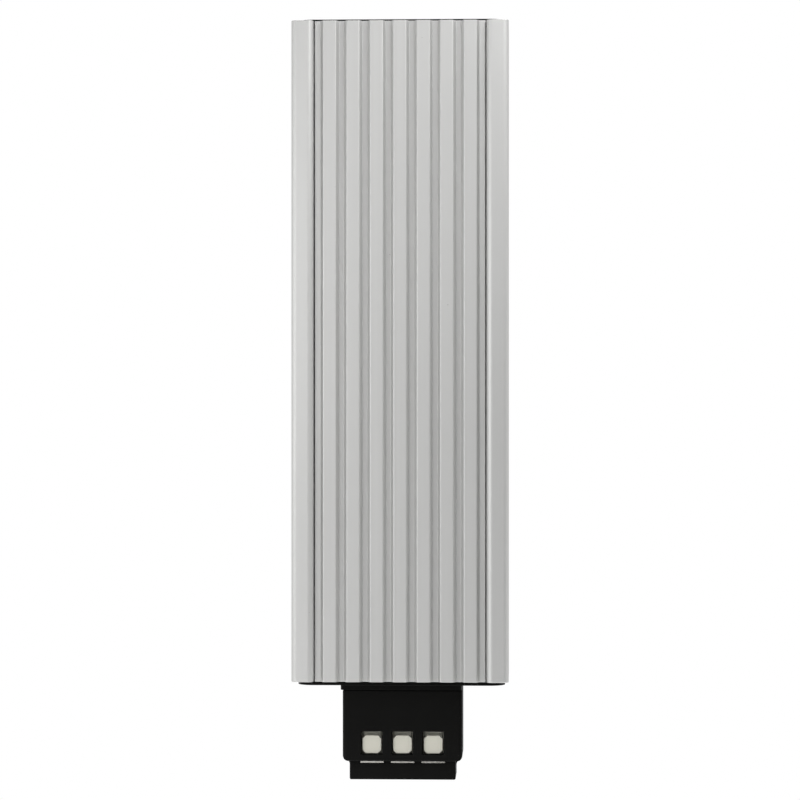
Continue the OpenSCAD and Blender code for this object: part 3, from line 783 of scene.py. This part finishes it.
panel("near_left_panel", place=(-0.25, -0.25, 0.0), side=0.2, watts=0.22)
panel("front_left_panel", place=(-0.15, -0.3, 0.05), side=0.15, watts=0.225)
panel("low_left_panel", place=(-0.2, -0.3, -0.27), side=0.16, watts=0.23)
panel("right_panel", place=(0.3, -0.35, 0.3), side=0.5, watts=0.3)
panel("upper_right_panel", place=(0.15, -0.25, 0.3), side=0.15, watts=0.96)
panel("glint_panel", place=(-0.08, -0.4, -0.17), side=0.1, watts=0.045)

# %% [markdown]
# ## White room
# The background is pure white: the camera sees the world at strength 1. Mirror rays that leave towards
# the back meet a backdrop that is almost as bright. The room in front of the heater is dim, which the
# metal needs: under an evenly white sky every ridge would look the same. A smooth step along Y leads from
# one to the other.

# %% World
BACKDROP_LEVEL = 0.9
ROOM_LEVEL = 0.08
ROOM_ENDS = -0.75
BACKDROP_STARTS = -0.25

world = bpy.data.worlds.new("white_room")
scene.world = world
world.use_nodes = True
room = Tree(world.node_tree)
direction = room.node("ShaderNodeTexCoord", output="Generated")
level = room.node("ShaderNodeMapRange", {"interpolation_type": "SMOOTHSTEP"}, {
    "Value": room.along(direction, "Y"), "From Min": ROOM_ENDS, "From Max": BACKDROP_STARTS,
    "To Min": ROOM_LEVEL, "To Max": BACKDROP_LEVEL})
to_camera = room.node("ShaderNodeLightPath", output="Is Camera Ray")
sky = world.node_tree.nodes["Background"]
room.feed(sky.inputs["Color"], tint(1, 1, 1))
room.feed(sky.inputs["Strength"], level.most(to_camera))
print(world.name, "from", ROOM_LEVEL, "in front to", BACKDROP_LEVEL, "behind")

# %% [markdown]
# ## Floor
# The floor lies below the picture. It is pale and takes the shadow. A plain white floor would look grey
# beside the white background, so it also glows, but only towards the camera and in mirrors, and lights no
# matt surface.

# %% Floor
FLOOR_Z = -0.3
FLOOR_RADIUS = 0.45
FLOOR_CORNERS = 96
FLOOR_GLOW = 0.72
FLOOR_TONE = tint(0.8, 0.8, 0.8)

turns = [math.tau * i / FLOOR_CORNERS for i in range(FLOOR_CORNERS)]
rim = [(FLOOR_RADIUS * math.cos(a), FLOOR_RADIUS * math.sin(a), FLOOR_Z) for a in turns]
floor_mesh = bpy.data.meshes.new("pale_floor")
floor_mesh.from_pydata(rim, [], [range(FLOOR_CORNERS)])
floor = bpy.data.objects.new("pale_floor", floor_mesh)
scene.collection.objects.link(floor)
floor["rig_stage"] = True
paper = bpy.data.materials.new("white_paper")
paper.use_nodes = True
paper_nodes = Tree(paper.node_tree)
paper_nodes.tree.nodes.remove(paper_nodes.tree.nodes["Principled BSDF"])
to_camera = paper_nodes.node("ShaderNodeLightPath", output="Is Camera Ray")
to_mirror = paper_nodes.node("ShaderNodeLightPath", output="Is Glossy Ray")
to_glass = paper_nodes.node("ShaderNodeLightPath", output="Is Transmission Ray")
shown = to_camera.most(to_mirror.most(to_glass))
matt = paper_nodes.node("ShaderNodeBsdfDiffuse", {}, {"Color": FLOOR_TONE})
glow = paper_nodes.node("ShaderNodeEmission", {}, {"Strength": shown * FLOOR_GLOW})
both = paper_nodes.node("ShaderNodeAddShader", {}, {0: matt, 1: glow})
paper_nodes.feed(paper_nodes.tree.nodes["Material Output"].inputs["Surface"], both)
floor_mesh.materials.append(paper)
print(floor.name, "lies", round((cad_box[0][2] - FLOOR_Z) / MM), "mm below the heater")

# %% [markdown]
# ## Sizes
# Soft edges take a little away and may add nothing. Whether that holds could be judged by eye, but the
# heights of two boxes, of the solids and of the finished model, say it in numbers.

# %% Sizes
visual_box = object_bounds()
for label, (low, high) in {"solids": cad_box, "model": visual_box}.items():
    print(label, round((high[2] - low[2]) / MM, 2), "mm high")
